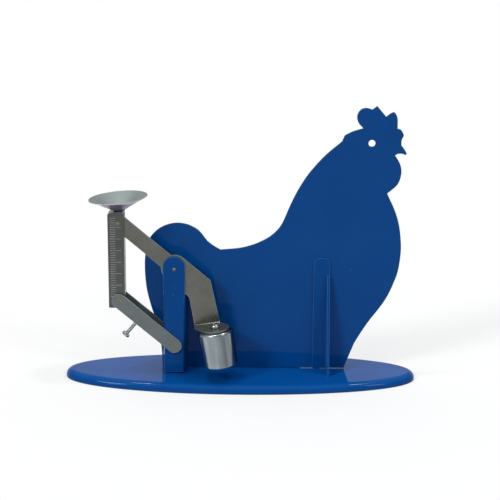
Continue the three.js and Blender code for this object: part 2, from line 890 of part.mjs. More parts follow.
// Lower link, drawn about the post's lower pin with its length along -X
function lowerLink() {
  const outline = new THREE.Shape();
  outline.absarc(0, 0, linkHalfWidth, -Math.PI / 2, Math.PI / 2);
  outline.absarc(-armReach, 0, linkHalfWidth, Math.PI / 2, (3 * Math.PI) / 2);
  const depth = linkBackY - linkFaceY;
  const [inFront, inBack] = [linkFaceY + sheet, linkBackY - sheet];
  const [left, right] = [-armReach - linkHalfWidth - overrun, linkHalfWidth + overrun];
  const [below, above] = [-linkHalfWidth - overrun, linkHalfWidth + overrun];
  const inside = block(left, right, inFront, inBack, sheet - linkHalfWidth, above);
  const carrierEnd = block(left, webStart - armReach, inFront, inBack, below, above);
  const postEnd = block(webEnd - armReach, right, inFront, inBack, below, above);
  const through = [linkFaceY - overrun, linkBackY + overrun];
  const postHole = drill(pinRadius + pinGap, ...through);
  const carrierHole = drill(pinRadius + pinGap, ...through).translate(-armReach, 0, 0);
  const adjusterX = adjusterRun - armReach;
  const adjusterHole = uprightDrill(adjusterRadius + pinGap, below, 0).translate(adjusterX, linkMiddleY, 0);
  return solidOf(plate(outline, linkFaceY, depth, roundSegments / 2))
    .subtract(solidOf(inside))
    .subtract(solidOf(carrierEnd))
    .subtract(solidOf(postEnd))
    .subtract(solidOf(postHole))
    .subtract(solidOf(carrierHole))
    .subtract(solidOf(adjusterHole));
}

function lowerLinkGroup() {
  const group = new THREE.Group();
  group.position.set(mainPinX, 0, lowerPinZ);
  group.rotation.y = armSlope;
  const [front, back] = [linkFaceY - pinTip, linkBackY + restGap];
  const carrierEndPin = namedMesh("link_carrier_pin", pin(front, back), brass);
  carrierEndPin.position.x = -armReach;
  const adjusterSizes = {
    radius: adjusterRadius,
    reach: adjusterStandoff + sheet + adjusterReach,
    headRadius: adjusterHeadRadius,
    headSide: adjusterHeadSide,
    headDome: adjusterHeadDome,
  };
  const adjuster = namedMesh("adjusting_screw", slottedScrew(adjusterSizes), brightZinc);
  adjuster.position.set(adjusterRun - armReach, linkMiddleY, -linkHalfWidth - adjusterStandoff);
  adjuster.rotation.x = Math.PI;
  group.add(
    namedMesh("lower_link", lowerLink(), platedSteel),
    namedMesh("link_post_pin", pin(front, back), brass),
    carrierEndPin,
    adjuster,
  );
  return group;
}

// The whole scale
const eggScale = new THREE.Group();
eggScale.add(
  namedMesh("base_plate", basePlate(), enamel),
  namedMesh("hen_plate", henPlate(), enamel),
  ...henScrews(),
  namedMesh("pivot_post", post(), enamel),
  namedMesh("post_screw", postScrew(), brightZinc),
  namedMesh("main_pivot_pin", mainPivotPin(), brass),
  namedMesh("main_pivot_spacer", mainPivotSpacer(), brightZinc),
  namedMesh("hen_bracket", bracket(), enamel),
  bracketScrew(),
  beamGroup(),
  carrierGroup(),
  lowerLinkGroup(),
);

export default eggScale;
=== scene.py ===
# %% [markdown]
# An egg scale stands here: a hen cut from sheet metal on an oval base, with a weighing linkage before
# its tail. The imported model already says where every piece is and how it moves. It could be rendered as
# it is, but its solids have coarse facets and sharp corners. So each piece gets its fine shape, then its
# finish.

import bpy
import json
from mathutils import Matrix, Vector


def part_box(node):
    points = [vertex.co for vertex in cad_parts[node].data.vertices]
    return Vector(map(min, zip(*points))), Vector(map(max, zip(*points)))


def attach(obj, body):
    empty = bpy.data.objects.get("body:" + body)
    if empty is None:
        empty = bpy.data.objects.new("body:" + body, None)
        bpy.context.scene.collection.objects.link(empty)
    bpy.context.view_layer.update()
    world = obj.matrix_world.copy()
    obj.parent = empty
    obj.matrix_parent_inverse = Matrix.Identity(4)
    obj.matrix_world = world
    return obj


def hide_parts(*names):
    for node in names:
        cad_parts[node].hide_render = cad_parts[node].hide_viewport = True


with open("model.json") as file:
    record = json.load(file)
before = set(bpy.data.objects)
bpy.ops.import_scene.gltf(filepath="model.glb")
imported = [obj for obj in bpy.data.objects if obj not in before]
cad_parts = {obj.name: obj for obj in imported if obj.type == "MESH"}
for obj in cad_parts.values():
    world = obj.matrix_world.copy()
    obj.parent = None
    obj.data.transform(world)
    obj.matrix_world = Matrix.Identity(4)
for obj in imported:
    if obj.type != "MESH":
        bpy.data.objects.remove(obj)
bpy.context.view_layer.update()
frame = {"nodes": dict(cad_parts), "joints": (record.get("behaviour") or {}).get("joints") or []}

# %% Modules, the unit of length and the scene
import json
import math

import bmesh
import bpy
from mathutils import Matrix, Vector

mm = 0.001
scene = bpy.context.scene

# %% Small helpers
def in_scene(name, data):
    """A new object that is part of the scene."""
    made = bpy.data.objects.new(name, data)
    scene.collection.objects.link(made)
    return made


def shares(steps):
    """Even shares of a stretch, from 0 to 1."""
    return [step / steps for step in range(steps + 1)]


def curve(start, bend, end, steps):
    """Points of a smooth curve that leaves its start toward a bend and ends coming from it."""
    return [start * (1 - t) ** 2 + bend * 2 * t * (1 - t) + end * t ** 2 for t in shares(steps)]


# %% [markdown]
# The camera stands a little above the scale and looks at its plain side, as a product photographer would.
# It is turned round the point it looks at, raised by an angle, moved back by its distance and rolled a
# little. A matrix made from these values keeps them readable, and any of them can be changed alone.

# %% Camera
view_turn = math.radians(0.5)
view_height = math.radians(15.07)
view_roll = math.radians(0.43)
view_target = Vector((7.72, 0, 113.37)) * mm
view_distance = 1162.4 * mm
view_lens = 99.2

camera_data = bpy.data.cameras.new("camera")
camera_data.lens = view_lens
camera = in_scene("camera", camera_data)
turn = Matrix.Rotation(view_turn, 4, "Z") @ Matrix.Rotation(math.pi / 2 - view_height, 4, "X")
back = Matrix.Translation((0, 0, view_distance))
roll = Matrix.Rotation(view_roll, 4, "Z")
camera.matrix_world = Matrix.Translation(view_target) @ turn @ back @ roll
scene.camera = camera
print("camera at", [round(x, 3) for x in camera.matrix_world.translation])

# %% [markdown]
# The four pins of the linkage stand at the corners of a parallelogram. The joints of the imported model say
# where the two upper pins are, so the slope that both arms share follows from the frame.

# %% Places of the linkage
joints = {joint["name"]: joint for joint in frame["joints"]}
main_pin = Vector(joints["beam_tilt"]["pos_m"])
carrier_pin = Vector(joints["carrier_hang"]["pos_m"])
arm_slope = math.atan2(carrier_pin.z - main_pin.z, main_pin.x - carrier_pin.x)
print("arms rise", round(math.degrees(arm_slope), 1), "degrees")

# %% [markdown]
# Materials first. Each finish is a procedural shader, and what several finishes share is a small node
# group: edges that are worn and partly carry a painted highlight, a grain drawn out along the metal, rings
# left by turning, and the soft waves of sprayed enamel. A group gives only values that vary over the
# surface. The shader stays in the material.

# %% Helpers for node trees
def empty_tree(owner):
    """The node tree of a material or a world, with nothing in it."""
    owner.use_nodes = True
    owner.node_tree.nodes.clear()
    return owner.node_tree


def set_inputs(tree, node, inputs):
    """Gives each input of a node a value, or the output of another node."""
    for key, value in inputs.items():
        if isinstance(value, bpy.types.NodeSocket):
            tree.links.new(value, node.inputs[key])
        else:
            node.inputs[key].default_value = value


def add(tree, kind, inputs=None, **settings):
    """A new node with its settings and its inputs."""
    made = tree.nodes.new(kind)
    for key, value in settings.items():
        setattr(made, key, value)
    set_inputs(tree, made, inputs or {})
    return made


def output(tree, kind, inputs=None, **settings):
    """The first output of a new node."""
    return add(tree, kind, inputs, **settings).outputs[0]


def calculate(tree, operation, first, second=0.0, clamp=False):
    inputs = {0: first, 1: second}
    return output(tree, "ShaderNodeMath", inputs, operation=operation, use_clamp=clamp)


def mixed(tree, share, first, second, blend="MIX"):
    """Two colours mixed by a share."""
    inputs = {0: share, 6: first, 7: second}
    return add(tree, "ShaderNodeMix", inputs, data_type="RGBA", blend_type=blend).outputs[2]


def ranged(tree, value, low, high, new_low=0.0, new_high=1.0):
    """A value between two limits, stretched to two new limits."""
    limits = {0: value, 1: low, 2: high, 3: new_low, 4: new_high}
    return output(tree, "ShaderNodeMapRange", limits)


def noise(tree, coordinate, scale, detail=2.0):
    inputs = {"Vector": coordinate, "Scale": scale, "Detail": detail}
    return output(tree, "ShaderNodeTexNoise", inputs)


def on_vectors(tree, operation, first, second=(0, 0, 0)):
    inputs = {0: first, 1: second}
    return add(tree, "ShaderNodeVectorMath", inputs, operation=operation).outputs


def new_group(name, inputs, outputs, tree_kind="ShaderNodeTree", output_kind="Float"):
    """An empty group whose inputs and outputs have names. An input has a kind and perhaps a value."""
    tree = bpy.data.node_groups.new(name, tree_kind)
    for label, kind, *value in inputs:
        socket = tree.interface.new_socket(label, in_out="INPUT", socket_type="NodeSocket" + kind)
        if value:
            socket.default_value = value[0]
    for label in outputs:
        tree.interface.new_socket(label, in_out="OUTPUT", socket_type="NodeSocket" + output_kind)
    return tree, tree.nodes.new("NodeGroupInput").outputs, tree.nodes.new("NodeGroupOutput")


def use_group(tree, group, inputs):
    return add(tree, "ShaderNodeGroup", inputs, node_tree=group).outputs


# %% Group: edges, for wear and for painted highlights
inputs = [("Width", "Float", 0.5 * mm), ("Strength", "Float", 4.0)]
worn_edges, given, result = new_group("worn_edges", inputs, ["Mask"])
rounded = output(worn_edges, "ShaderNodeBevel", {"Radius": given["Width"]}, samples=8)
surface = add(worn_edges, "ShaderNodeNewGeometry").outputs["Normal"]
facing = on_vectors(worn_edges, "DOT_PRODUCT", rounded, surface)["Value"]
away = calculate(worn_edges, "SUBTRACT", 1.0, facing)
mask = calculate(worn_edges, "MULTIPLY", away, given["Strength"], clamp=True)
set_inputs(worn_edges, result, {"Mask": mask})

# %% Group: grain drawn out along the metal
drawn_grain, given, result = new_group("drawn_grain", [
    ("Coordinate", "Vector"),
    ("Stretch", "Vector", (0.05, 1, 1)),
    ("Lines per metre", "Float", 3000.0),
], ["Grain", "Clouds"])
stretched = on_vectors(drawn_grain, "MULTIPLY", given["Coordinate"], given["Stretch"])["Vector"]
fine = noise(drawn_grain, stretched, given["Lines per metre"], 3.0)
clouds = noise(drawn_grain, given["Coordinate"], 70.0, 3.0)
set_inputs(drawn_grain, result, {"Grain": fine, "Clouds": clouds})

# %% Group: rings round the axis of a turned or spun piece
inputs = [("Coordinate", "Vector"), ("Lines per metre", "Float", 2500.0)]
turning_rings, given, result = new_group("turning_rings", inputs, ["Rings", "Radius"])
flat = on_vectors(turning_rings, "MULTIPLY", given["Coordinate"], (1, 1, 0))["Vector"]
radius = on_vectors(turning_rings, "LENGTH", flat)["Value"]
ring_inputs = {"W": radius, "Scale": given["Lines per metre"], "Detail": 2.0}
rings = output(turning_rings, "ShaderNodeTexNoise", ring_inputs, noise_dimensions="1D")
set_inputs(turning_rings, result, {"Rings": rings, "Radius": radius})

# %% Group: sprayed enamel
inputs = [("Coordinate", "Vector"), ("Waves per metre", "Float", 260.0)]
outputs = ["Waves", "Depth of colour", "Specks"]
sprayed_enamel, given, result = new_group("sprayed_enamel", inputs, outputs)
where = given["Coordinate"]
waves = noise(sprayed_enamel, where, given["Waves per metre"], 1.0)
depth_of_colour = noise(sprayed_enamel, where, 22.0, 4.0)
dust = add(sprayed_enamel, "ShaderNodeTexVoronoi", {"Vector": where, "Scale": 160.0}).outputs
near_speck = ranged(sprayed_enamel, dust["Distance"], 0.035, 0.06, 1.0, 0.0)
chosen = output(sprayed_enamel, "ShaderNodeSeparateColor", {0: dust["Color"]})
rare = calculate(sprayed_enamel, "GREATER_THAN", chosen, 0.93)
specks = calculate(sprayed_enamel, "MULTIPLY", near_speck, rare)
set_inputs(sprayed_enamel, result, {
    "Waves": waves,
    "Depth of colour": depth_of_colour,
    "Specks": specks,
})

# %% [markdown]
# The hen, the base, the post and the bracket are sprayed a deep blue and fired to a hard gloss. The gloss
# is a clear coat over a matt colour, because that keeps the blue deep and the mirror images clean. Its
# waves are kept very low, so that a mirrored edge only trembles a little, as it does on real enamel.


def new_finish(name):
    """A material with its shader alone. It stands for one of the CAD model's finishes."""
    material = bpy.data.materials.new(name)
    tree = empty_tree(material)
    shader = add(tree, "ShaderNodeBsdfPrincipled")
    add(tree, "ShaderNodeOutputMaterial", {"Surface": shader.outputs[0]})
    return material, tree, shader


def bumped(tree, shader, height, distance, strength=1.0):
    inputs = {"Height": height, "Distance": distance, "Strength": strength}
    bump = output(tree, "ShaderNodeBump", inputs)
    set_inputs(tree, shader, {"Normal": bump})
    return bump


def with_edges(tree, colour, edge_colour, width, strength):
    """A colour with another one along the edges, which stands for wear and partly for a painted highlight.
    """
    mask = use_group(tree, worn_edges, {"Width": width, "Strength": strength})["Mask"]
    return mixed(tree, mask, colour, edge_colour)


def blue_enamel(name, edge_highlight_colour, edge_strength, gloss):
    """Enamel whose edges are lighter, partly thin enamel and partly a painted highlight, with a strength,
    and a share of clear coat.
    """
    material, tree, shader = new_finish(name)
    edge_highlight_width = 0.6 * mm
    wave_height = 0.006 * mm
    where = add(tree, "ShaderNodeTexCoord").outputs["Object"]
    spray = use_group(tree, sprayed_enamel, {"Coordinate": where})
    depth = spray["Depth of colour"]
    deep = mixed(tree, depth, (0.0006, 0.046, 0.195, 1), (0.0012, 0.058, 0.240, 1))
    # The lighter edges are partly thin enamel and partly a painted highlight.
    edge_lit = with_edges(tree, deep, edge_highlight_colour, edge_highlight_width, edge_strength)
    set_inputs(tree, shader, {
        "Base Color": mixed(tree, spray["Specks"], edge_lit, (0.12, 0.22, 0.42, 1)),
        "Coat Weight": ranged(tree, depth, 0.3, 0.7, 0.94 * gloss, gloss),
        "Coat Normal": bumped(tree, shader, spray["Waves"], wave_height),
        "Roughness": 0.55,
        "Specular IOR Level": 0.0,
        "Coat Roughness": 0.03,
        "Coat IOR": 1.17,
    })
    return material


enamel = blue_enamel("fired_enamel", (0.03, 0.12, 0.36, 1), 1.6, 1.0)
# The post and the bracket get stronger, lighter edges: a painted highlight along their edges and bends.
edged_enamel = blue_enamel("edged_enamel", (0.06, 0.19, 0.50, 1), 5.0, 0.7)
print("finishes:", enamel.name, edged_enamel.name)

# %% [markdown]
# The beam, the carrier and the link are cut from plated sheet. Such plating is a dull olive grey with a
# fine rolled grain and cloudy stains, and its cut edges are brighter, partly from wear and partly as a
# painted highlight. Each of the three left the bath a little different, so the finish takes its two
# colours. The grain follows each piece, so it reads a coordinate that is stored on the piece, which has its
# first axis along the metal.

# %% Finish: plated sheet
def stored_grain(tree):
    return add(tree, "ShaderNodeAttribute", attribute_name="grain").outputs["Vector"]


def make_metal(tree, shader, colour, matt, relief, height):
    set_inputs(tree, shader, {"Base Color": colour, "Roughness": matt, "Metallic": 1.0})
    bumped(tree, shader, relief, height, 0.5)


def plated_sheet(name, dull, clear, metal_share=0.72):
    """Plating whose clouds go from a dull colour to a clear one. A chalky surface has less metal."""
    material, tree, shader = new_finish(name)
    wear_and_highlight_width = 0.5 * mm
    grain_height = 0.02 * mm
    sizes = {"Coordinate": stored_grain(tree), "Stretch": (0.06, 1, 1), "Lines per metre": 2600.0}
    grain = use_group(tree, drawn_grain, sizes)
    stained = mixed(tree, ranged(tree, grain["Clouds"], 0.25, 0.75), dull, clear)
    streak = ranged(tree, grain["Grain"], 0.3, 0.7, 0.86, 1.14)
    drawn = mixed(tree, 1.0, stained, streak, "MULTIPLY")
    # The brighter edges are partly wear and partly a painted highlight.
    worn_and_highlit = with_edges(tree, drawn, (0.50, 0.54, 0.52, 1), wear_and_highlight_width, 4.0)
    matt = ranged(tree, grain["Clouds"], 0.3, 0.7, 0.24, 0.34)
    make_metal(tree, shader, worn_and_highlit, matt, grain["Grain"], grain_height)
    set_inputs(tree, shader, {"Metallic": metal_share, "Specular Tint": (0.92, 1.0, 1.0, 1)})
    return material


plated = plated_sheet("plated_sheet", (0.112, 0.110, 0.092, 1), (0.138, 0.144, 0.134, 1))
plated_dark = plated_sheet("plated_dark", (0.066, 0.070, 0.064, 1), (0.092, 0.100, 0.094, 1))
plated_cool = plated_sheet("plated_cool", (0.104, 0.124, 0.128, 1), (0.132, 0.154, 0.160, 1), 0.25)
stamped_edge = plated_sheet("stamped_edge", (0.21, 0.22, 0.215, 1), (0.27, 0.285, 0.28, 1))
# The washer is painted near black, as painted shade for the dark gap under the pan.
blackened = plated_sheet("blackened", (0.010, 0.013, 0.012, 1), (0.020, 0.026, 0.024, 1))

# %% [markdown]
# The counterweight and the screws are bright zinc, drawn out along their length. Broad lighter and darker
# bands along that length are painted highlights and reflections. The pan is spun from thin plated sheet,
# which leaves fine rings, and its underside has the rainbow of a passivated plating, with a painted
# highlight near the rim. The pins are brass.

# %% Finish: bright zinc
def bright_zinc():
    material, tree, shader = new_finish("streaked_zinc")
    wear_and_highlight_width = 0.6 * mm
    grain_height = 0.03 * mm
    sizes = {"Coordinate": stored_grain(tree), "Stretch": (1, 1, 0.05), "Lines per metre": 85.0}
    grain = use_group(tree, drawn_grain, sizes)
    clouded = mixed(tree, grain["Clouds"], (0.18, 0.212, 0.226, 1), (0.28, 0.318, 0.336, 1))
    # Broad bands, lighter and darker, painted as highlights and reflections along the length.
    streak = ranged(tree, grain["Grain"], 0.36, 0.64, 0.55, 1.45)
    drawn = mixed(tree, 1.0, clouded, streak, "MULTIPLY")
    # The bright edges are partly wear and partly a painted highlight.
    worn_and_highlit = with_edges(tree, drawn, (0.75, 0.78, 0.80, 1), wear_and_highlight_width, 2.5)
    matt = ranged(tree, grain["Grain"], 0.3, 0.7, 0.14, 0.26)
    make_metal(tree, shader, worn_and_highlit, matt, grain["Grain"], grain_height)
    return material


zinc = bright_zinc()
print("finish:", zinc.name)

# %% Finish: spun pan
def pan_underside(tree, clouds, radius):
    """The tinted underside, with a painted highlight in broken patches near the rim."""
    rim_highlight_start = 20.5 * mm
    rim_highlight_end = 22.5 * mm
    tint = ranged(tree, clouds, 0.35, 0.65)
    tinted = mixed(tree, tint, (0.42, 0.26, 0.39, 1), (0.29, 0.31, 0.41, 1))
    near_rim = ranged(tree, radius, rim_highlight_start, rim_highlight_end)
    broken = ranged(tree, noise(tree, stored_grain(tree), 90.0, 1.0), 0.40, 0.55)
    # The near-white patches near the rim are a painted highlight.
    painted_rim_highlight = calculate(tree, "MULTIPLY", near_rim, broken)
    return mixed(tree, painted_rim_highlight, tinted, (0.95, 0.96, 1.0, 1))


def spun_pan():
    material, tree, shader = new_finish("spun_pan")
    wear_and_highlight_width = 0.6 * mm
    ring_height = 0.02 * mm
    where = stored_grain(tree)
    turned = use_group(tree, turning_rings, {"Coordinate": where, "Lines per metre": 1400.0})
    clouds = noise(tree, where, 60.0, 4.0)
    inside = mixed(tree, clouds, (0.22, 0.258, 0.25, 1), (0.265, 0.305, 0.295, 1))
    outside = pan_underside(tree, clouds, turned["Radius"])
    under = add(tree, "ShaderNodeAttribute", attribute_name="underside").outputs["Fac"]
    streak = ranged(tree, turned["Rings"], 0.3, 0.7, 0.92, 1.08)
    spun = mixed(tree, 1.0, mixed(tree, under, inside, outside), streak, "MULTIPLY")
    # The bright edges are partly wear and partly a painted highlight.
    worn_and_highlit = with_edges(tree, spun, (0.85, 0.87, 0.87, 1), wear_and_highlight_width, 2.0)
    smoother_below = ranged(tree, under, 0.0, 1.0, 1.0, 0.82)
    matt = calculate(tree, "MULTIPLY", ranged(tree, clouds, 0.3, 0.7, 0.52, 0.60), smoother_below)
    make_metal(tree, shader, worn_and_highlit, matt, turned["Rings"], ring_height)
    return material


pan_tin = spun_pan()
print("finish:", pan_tin.name)

# %% Finish: brass
def worn_brass():
    material, tree, shader = new_finish("worn_brass")
    wear_and_highlight_width = 0.3 * mm
    ring_height = 0.02 * mm
    where = stored_grain(tree)
    turned = use_group(tree, turning_rings, {"Coordinate": where, "Lines per metre": 3000.0})
    stains = noise(tree, where, 900.0, 3.0)
    tarnished = mixed(tree, stains, (0.16, 0.105, 0.04, 1), (0.46, 0.34, 0.14, 1))
    worn_and_highlit = with_edges(tree, tarnished, (0.62, 0.50, 0.26, 1), wear_and_highlight_width, 3.0)
    matt = ranged(tree, stains, 0.3, 0.7, 0.22, 0.40)
    make_metal(tree, shader, worn_and_highlit, matt, turned["Rings"], ring_height)
    return material


brass = worn_brass()
print("finish:", brass.name)

# %% [markdown]
# Now the shapes. A piece is finished in one way each time: it gets its grain, a smooth surface with its
# sharp edges kept, its finish, and the body that carries it. One function does that for every piece.

# %% Helpers that finish a piece
smooth_limit = math.radians(32)


def finished(name, mesh, to_grain, finish, body, replaced):
    """Makes a mesh a piece of the scale that rides on a body and stands for CAD nodes. The grain that
    it stores is the place of each point in the metal's own axes."""
    grain = mesh.attributes.new("grain", "FLOAT_VECTOR", "POINT")
    for point, value in zip(mesh.vertices, grain.data):
        value.vector = to_grain @ point.co
    mesh.shade_smooth()
    mesh.set_sharp_from_angle(angle=smooth_limit)
    mesh.materials.clear()
    mesh.materials.append(finish)
    piece = in_scene(name, mesh)
    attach(piece, body)
    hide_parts(*replaced)
    print(name, "has", len(mesh.polygons), "faces and rides on", body)
    return piece


def mesh_of(shape, name):
    mesh = bpy.data.meshes.new(name)
    shape.to_mesh(mesh)
    shape.free()
    return mesh


# Turns that lay a sheet's length on the grain's first axis.
level = Matrix.Identity(4)
upward = Matrix.Rotation(math.pi / 2, 4, "Y")
along_arms = Matrix.Rotation(arm_slope, 4, "Y")

# %% [markdown]
# The sheet-metal pieces have the right outline in the CAD model, but a saw or a press leaves no perfectly
# sharp edge. So each is copied, its loose triangles are joined into whole flat faces, its bends are
# rounded, and a small bevel is put round every edge. A bevel modifier does that, because it finds them.

# %% Helpers for sheet metal
weld = 0.002 * mm
touching = 0.05 * mm
flat_limit = math.radians(0.4)
edge_round = 0.25 * mm


def merged_copy(node):
    """A copy of a CAD node with its triangles joined into flat faces."""
    shape = bmesh.new()
    shape.from_mesh(frame["nodes"][node].data)
    bmesh.ops.remove_doubles(shape, verts=shape.verts, dist=weld)
    bmesh.ops.dissolve_limit(shape, angle_limit=flat_limit, verts=shape.verts, edges=shape.edges)
    return shape


def bevelled(shape, edges, width, steps):
    bmesh.ops.bevel(shape, geom=edges, offset=width, segments=steps, profile=0.5, affect="EDGES")


def soften(piece, width):
    """A bevel on every edge, after which the large faces set the normals, so that they stay flat."""
    piece.data.attributes.remove(piece.data.attributes["sharp_edge"])
    bevel = piece.modifiers.new("edges", "BEVEL")
    bevel.width = width
    bevel.segments = 2
    bevel.limit_method = "ANGLE"
    bevel.angle_limit = smooth_limit
    piece.modifiers.new("flat_faces", "WEIGHTED_NORMAL")


def sheet_piece(name, node, to_grain, finish, body, width=edge_round, is_bend=None, bend=0.0):
    """A sheet-metal piece from its CAD node. The bends that a test picks are rounded more."""
    shape = merged_copy(node)
    if is_bend:
        bends = [edge for edge in shape.edges if is_bend(edge)]
        bevelled(shape, bends, bend, 5)
        print("bends rounded:", len(bends))
    soften(finished(name, mesh_of(shape, name), to_grain, finish, body, [node]), width)


def run_of(edge):
    return edge.verts[1].co - edge.verts[0].co


def upright_in_front(edge, front):
    """Whether an edge goes up along a corner of a piece's front, and not over a flat face."""
    run = run_of(edge)
    is_corner = edge.calc_face_angle(0) > smooth_limit
    is_front = (edge.verts[0].co.y + edge.verts[1].co.y) / 2 < front + touching
    return is_corner and abs(run.z) > 0.9 * run.length and is_front


# %% [markdown]
# The hen is one flat plate with a hole for its eye, and a flange bent rearward at its foot.

# %% Hen
hen_edge_round = 0.3 * mm
sheet_piece("hen_cut_out", "hen_plate", level, enamel, "stand", hen_edge_round)

# %% [markdown]
# The base is an oval plate with a well rounded upper edge. Its highlights need an even, fine surface, so
# it is made anew: one oval ring after another, from the flat underside over the round shoulder to the
# flat top. The points are spaced evenly along the rim, because equal angles would leave long facets.

# %% Base
base_low, base_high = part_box("base_plate")
base_shoulder = 5.5 * mm
base_toe = 0.5 * mm
flat_inset = base_shoulder / 4
rim_points = 288
shoulder_steps = 12
oval_length = (base_high.x - base_low.x) / 2 - base_shoulder
oval_width = (base_high.y - base_low.y) / 2 - base_shoulder


def even_angles():
    """Angles of the oval whose points are evenly spaced along its rim."""
    fine_steps = 16 * rim_points
    runs = [0.0]
    for step in range(fine_steps):
        angle = 2 * math.pi * (step + 0.5) / fine_steps
        speed = math.hypot(oval_length * math.sin(angle), oval_width * math.cos(angle))
        runs.append(runs[-1] + speed)
    angles = []
    step = 0
    for index in range(rim_points):
        wanted = runs[-1] * index / rim_points
        while runs[step + 1] < wanted:
            step += 1
        share = (wanted - runs[step]) / (runs[step + 1] - runs[step])
        angles.append(2 * math.pi * (step + share) / fine_steps)
    return angles


def oval_ring(shape, angles, outward, height):
    """A ring of points at a distance outside the flat top's oval."""
    ring = []
    for angle in angles:
        side = Vector((math.cos(angle) / oval_length, math.sin(angle) / oval_width, 0)).normalized()
        on_oval = Vector((oval_length * math.cos(angle), oval_width * math.sin(angle), height))
        ring.append(shape.verts.new(on_oval + side * outward))
    return ring


def join_rings(shape, rings):
    """Faces between each ring and the next. A ring may be one point."""
    for lower, upper in zip(rings, rings[1:]):
        count = max(len(lower), len(upper))
        for i in range(count):
            k = (i + 1) % count
            below = [lower[i % len(lower)], lower[k % len(lower)]]
            above = [upper[k % len(upper)], upper[i % len(upper)]]
            corners = list(dict.fromkeys(below + above))
            if len(corners) > 2:
                shape.faces.new(corners)


def base_profile():
    """How far out and how high each ring is, from the underside over the shoulder to the top."""
    quarter = [math.pi / 2 * share for share in shares(shoulder_steps)]
    profile = [(-flat_inset, base_low.z)]
    for a in quarter:
        across = base_shoulder - base_toe * (1 - math.sin(a))
        profile.append((across, base_low.z + base_toe * (1 - math.cos(a))))
    for a in quarter:
        profile.append((base_shoulder * math.cos(a), base_high.z - base_shoulder * (1 - math.sin(a))))
    return profile + [(-flat_inset, base_high.z)]


def base_shape():
    shape = bmesh.new()
    angles = even_angles()
    rings = [oval_ring(shape, angles, outward, height) for outward, height in base_profile()]
    join_rings(shape, rings)
    shape.faces.new(list(reversed(rings[0])))
    shape.faces.new(rings[-1])
    return shape


base_mesh = mesh_of(base_shape(), "base_oval")
print("base:", len(base_mesh.polygons), "faces")

# %% [markdown]
# The screw that holds the post is driven from below, so the underside has a countersunk hole. A boolean
# cuts it out. What it cuts with is a turned shape, made from corners of radius and height, and the same
# function turns the weight, the pins and the screws later on.

# %% Cut shapes out of a mesh
def cut_away(mesh, cutter_shape):
    """The mesh with a shape cut out of it, as a plain mesh."""
    body = in_scene("to_cut", mesh)
    cutter = in_scene("cutter", mesh_of(cutter_shape, "cutter"))
    cut = body.modifiers.new("cut", "BOOLEAN")
    cut.object = cutter
    cut.operation = "DIFFERENCE"
    cut.solver = "EXACT"
    evaluated = body.evaluated_get(bpy.context.evaluated_depsgraph_get())
    result_mesh = bpy.data.meshes.new_from_object(evaluated)
    result_mesh.name = mesh.name
    for thing in (body, cutter):
        bpy.data.objects.remove(thing)
    return result_mesh


# %% Turned shapes
def rounded_profile(corners):
    """Points of radius and height. A corner is (radius, height), or has a rounding as its third value."""
    points = []
    for i, corner in enumerate(corners):
        at = Vector(corner[:2])
        if len(corner) == 2:
            points.append(at)
            continue
        before = (Vector(corners[i - 1][:2]) - at).normalized() * corner[2]
        after = (Vector(corners[i + 1][:2]) - at).normalized() * corner[2]
        points += curve(at + before, at, at + after, 5)
    return points


def round_ring(shape, radius, height, segments):
    """A ring of points round Z, or one point where the radius is zero."""
    if radius < weld:
        return [shape.verts.new((0, 0, height))]
    turns = [2 * math.pi * i / segments for i in range(segments)]
    return [shape.verts.new((radius * math.cos(a), radius * math.sin(a), height)) for a in turns]


def turned_shape(corners, segments=64, loops=False):
    """A closed shape turned round Z. Its profile goes from axis to axis, or loops round a bore."""
    shape = bmesh.new()
    profile = rounded_profile(corners)
    rings = [round_ring(shape, radius, height, segments) for radius, height in profile]
    join_rings(shape, rings + rings[:1] if loops else rings)
    bmesh.ops.recalc_face_normals(shape, faces=shape.faces)
    return shape


# %% Countersunk hole of the base
post_screw_low, post_screw_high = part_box("post_screw")
post_screw_middle = (post_screw_low + post_screw_high) / 2
sunk_head = 1.6 * mm
screw_clearance = 0.3 * mm
sunk_head_radius = (post_screw_high.x - post_screw_low.x) / 2
shank_radius = 1.5 * mm
mouth_radius = sunk_head_radius + screw_clearance
hole_radius = shank_radius + screw_clearance
countersink = turned_shape([
    (0, -sunk_head),
    (mouth_radius, -sunk_head),
    (mouth_radius, post_screw_low.z),
    (hole_radius, post_screw_low.z + sunk_head),
    (hole_radius, 2 * base_high.z),
    (0, 2 * base_high.z),
])
countersink.transform(Matrix.Translation((post_screw_middle.x, post_screw_middle.y, 0)))
base_mesh = cut_away(base_mesh, countersink)
finished("base_oval", base_mesh, level, enamel, "stand", ["base_plate"])

# %% [markdown]
# The post is a channel bent from one sheet. Its front edges are bends with a clear radius, which catch a
# line of light, so those two edges are rounded more than the cut ones.

# %% Post
post_low, post_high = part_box("pivot_post")
post_bend = 1.5 * mm
post_edge_round = 0.45 * mm


def post_corner(edge):
    """The front edges up to the open top of the side flanges, above which there is one sheet only."""
    return upright_in_front(edge, post_low.y) and edge.calc_length() > (post_high.z - post_low.z) / 2


bends = (post_edge_round, post_corner, post_bend)
sheet_piece("post_channel", "pivot_post", upward, edged_enamel, "stand", *bends)

# %% [markdown]
# The bracket is a strip with a round top that lies on the hen, and a fin stands along its right side.

# %% Bracket
sheet_piece("bracket_with_fin", "hen_bracket", upward, edged_enamel, "stand")

# %% [markdown]
# The beam is one plate whose end is bent forward into a tab. The carrier is a channel that is open at the
# back, and the link is a channel with a web on its lower side. All three keep their CAD outlines, with
# round bends.

# %% Beam
tab_fold = 0.9 * mm
shortest_fold = 10 * mm


def tab_corner(edge):
    """The two edges of the fold, which run nearly along X at the foot of the leg."""
    run = run_of(edge)
    is_level = abs(run.x) > 0.9 * run.length and abs(run.y) < touching
    return is_level and run.length > shortest_fold


bends = (edge_round, tab_corner, tab_fold)
sheet_piece("beam_bent_plate", "beam_plate", along_arms, plated, "beam", *bends)

